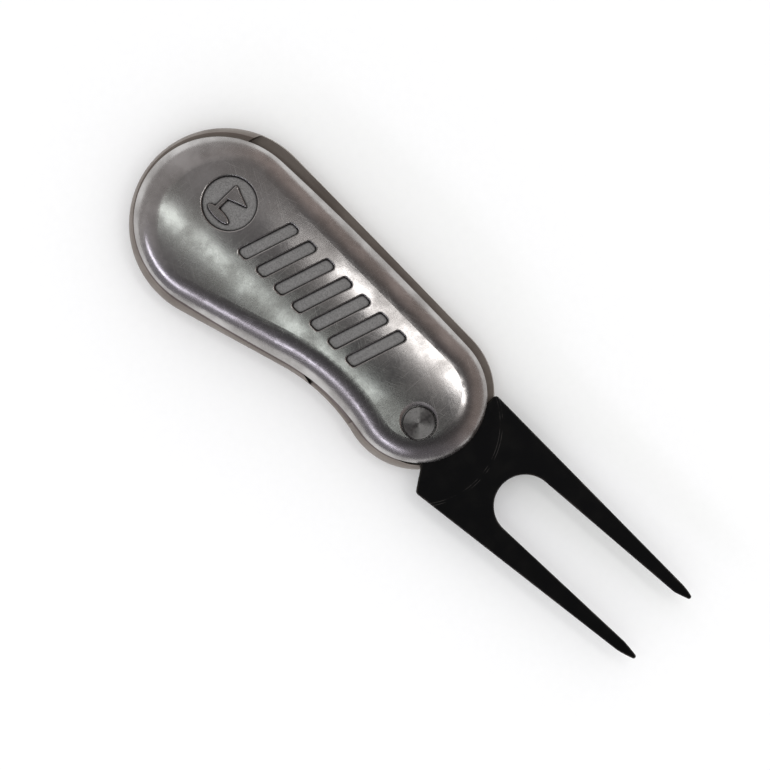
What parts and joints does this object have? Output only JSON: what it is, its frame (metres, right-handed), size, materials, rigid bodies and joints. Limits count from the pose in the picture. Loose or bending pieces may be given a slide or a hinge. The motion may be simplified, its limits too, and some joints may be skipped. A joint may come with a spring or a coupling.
{
  "type": "divot repair tool",
  "caption": "Folding two-pronged divot repair tool with a pebble-shaped metal handle, spring-out black fork and magnetic ball marker",
  "frame": {"origin": "Middle of the open tool's footprint, on the flat front face that rests on a table", "axes": "+X from the wide end of the handle toward the prong tips, +Y toward the straight side, +Z out of the crowned back"},
  "size_m": [0.1082, 0.0304, 0.0104],
  "materials": {
    "cast_zinc": "die-cast zinc alloy, pewter-coloured plating, satin",
    "cast_zinc_satin": "die-cast zinc alloy, pewter-coloured plating, satin polished",
    "black_oxide_steel": "near-black satin coating on steel",
    "turned_steel": "turned steel with fine circular tool marks",
    "washer_brass": "plain brass",
    "spring_steel": "oiled spring steel",
    "screw_steel": "zinc-plated steel",
    "button_zinc": "satin plated metal",
    "marker_steel": "polished nickel-plated steel",
    "marker_enamel": "plain dark green enamel",
    "magnet_nickel": "nickel-plated neodymium magnet"
  },
  "bodies": {
    "case": {"front_case": "cast_zinc", "back_cover": "cast_zinc_satin", "pivot_sleeve": "turned_steel", "lower_washer": "washer_brass", "upper_washer": "washer_brass", "torsion_spring": "spring_steel", "lock_spring": "spring_steel", "lock_spring_screws": "screw_steel", "marker_magnet": "magnet_nickel", "case_screws": "screw_steel"},
    "fork_body": {"fork": "black_oxide_steel"},
    "button": {"release_button": "button_zinc", "release_pin": "turned_steel"},
    "marker": {"ball_marker": "marker_steel", "marker_inlay": "marker_enamel"}
  },
  "joints": [
    {"name": "fork_swing", "type": "hinge", "parent": "case", "child": "fork_body", "pos_m": [0.0044, -0.00055, 0.00562], "axis": [0, 0, 1], "range_deg": [0, 165], "deforming": ["torsion_spring", "lock_spring"]},
    {"name": "button_press", "type": "slide", "parent": "case", "child": "button", "axis": [0, 0, 1], "range_m": [0, 0.00075], "deforming": ["lock_spring"]},
    {"name": "marker_lift", "type": "slide", "parent": "case", "child": "marker", "axis": [0, 0, -1], "range_m": [0, 0.015]}
  ]
}
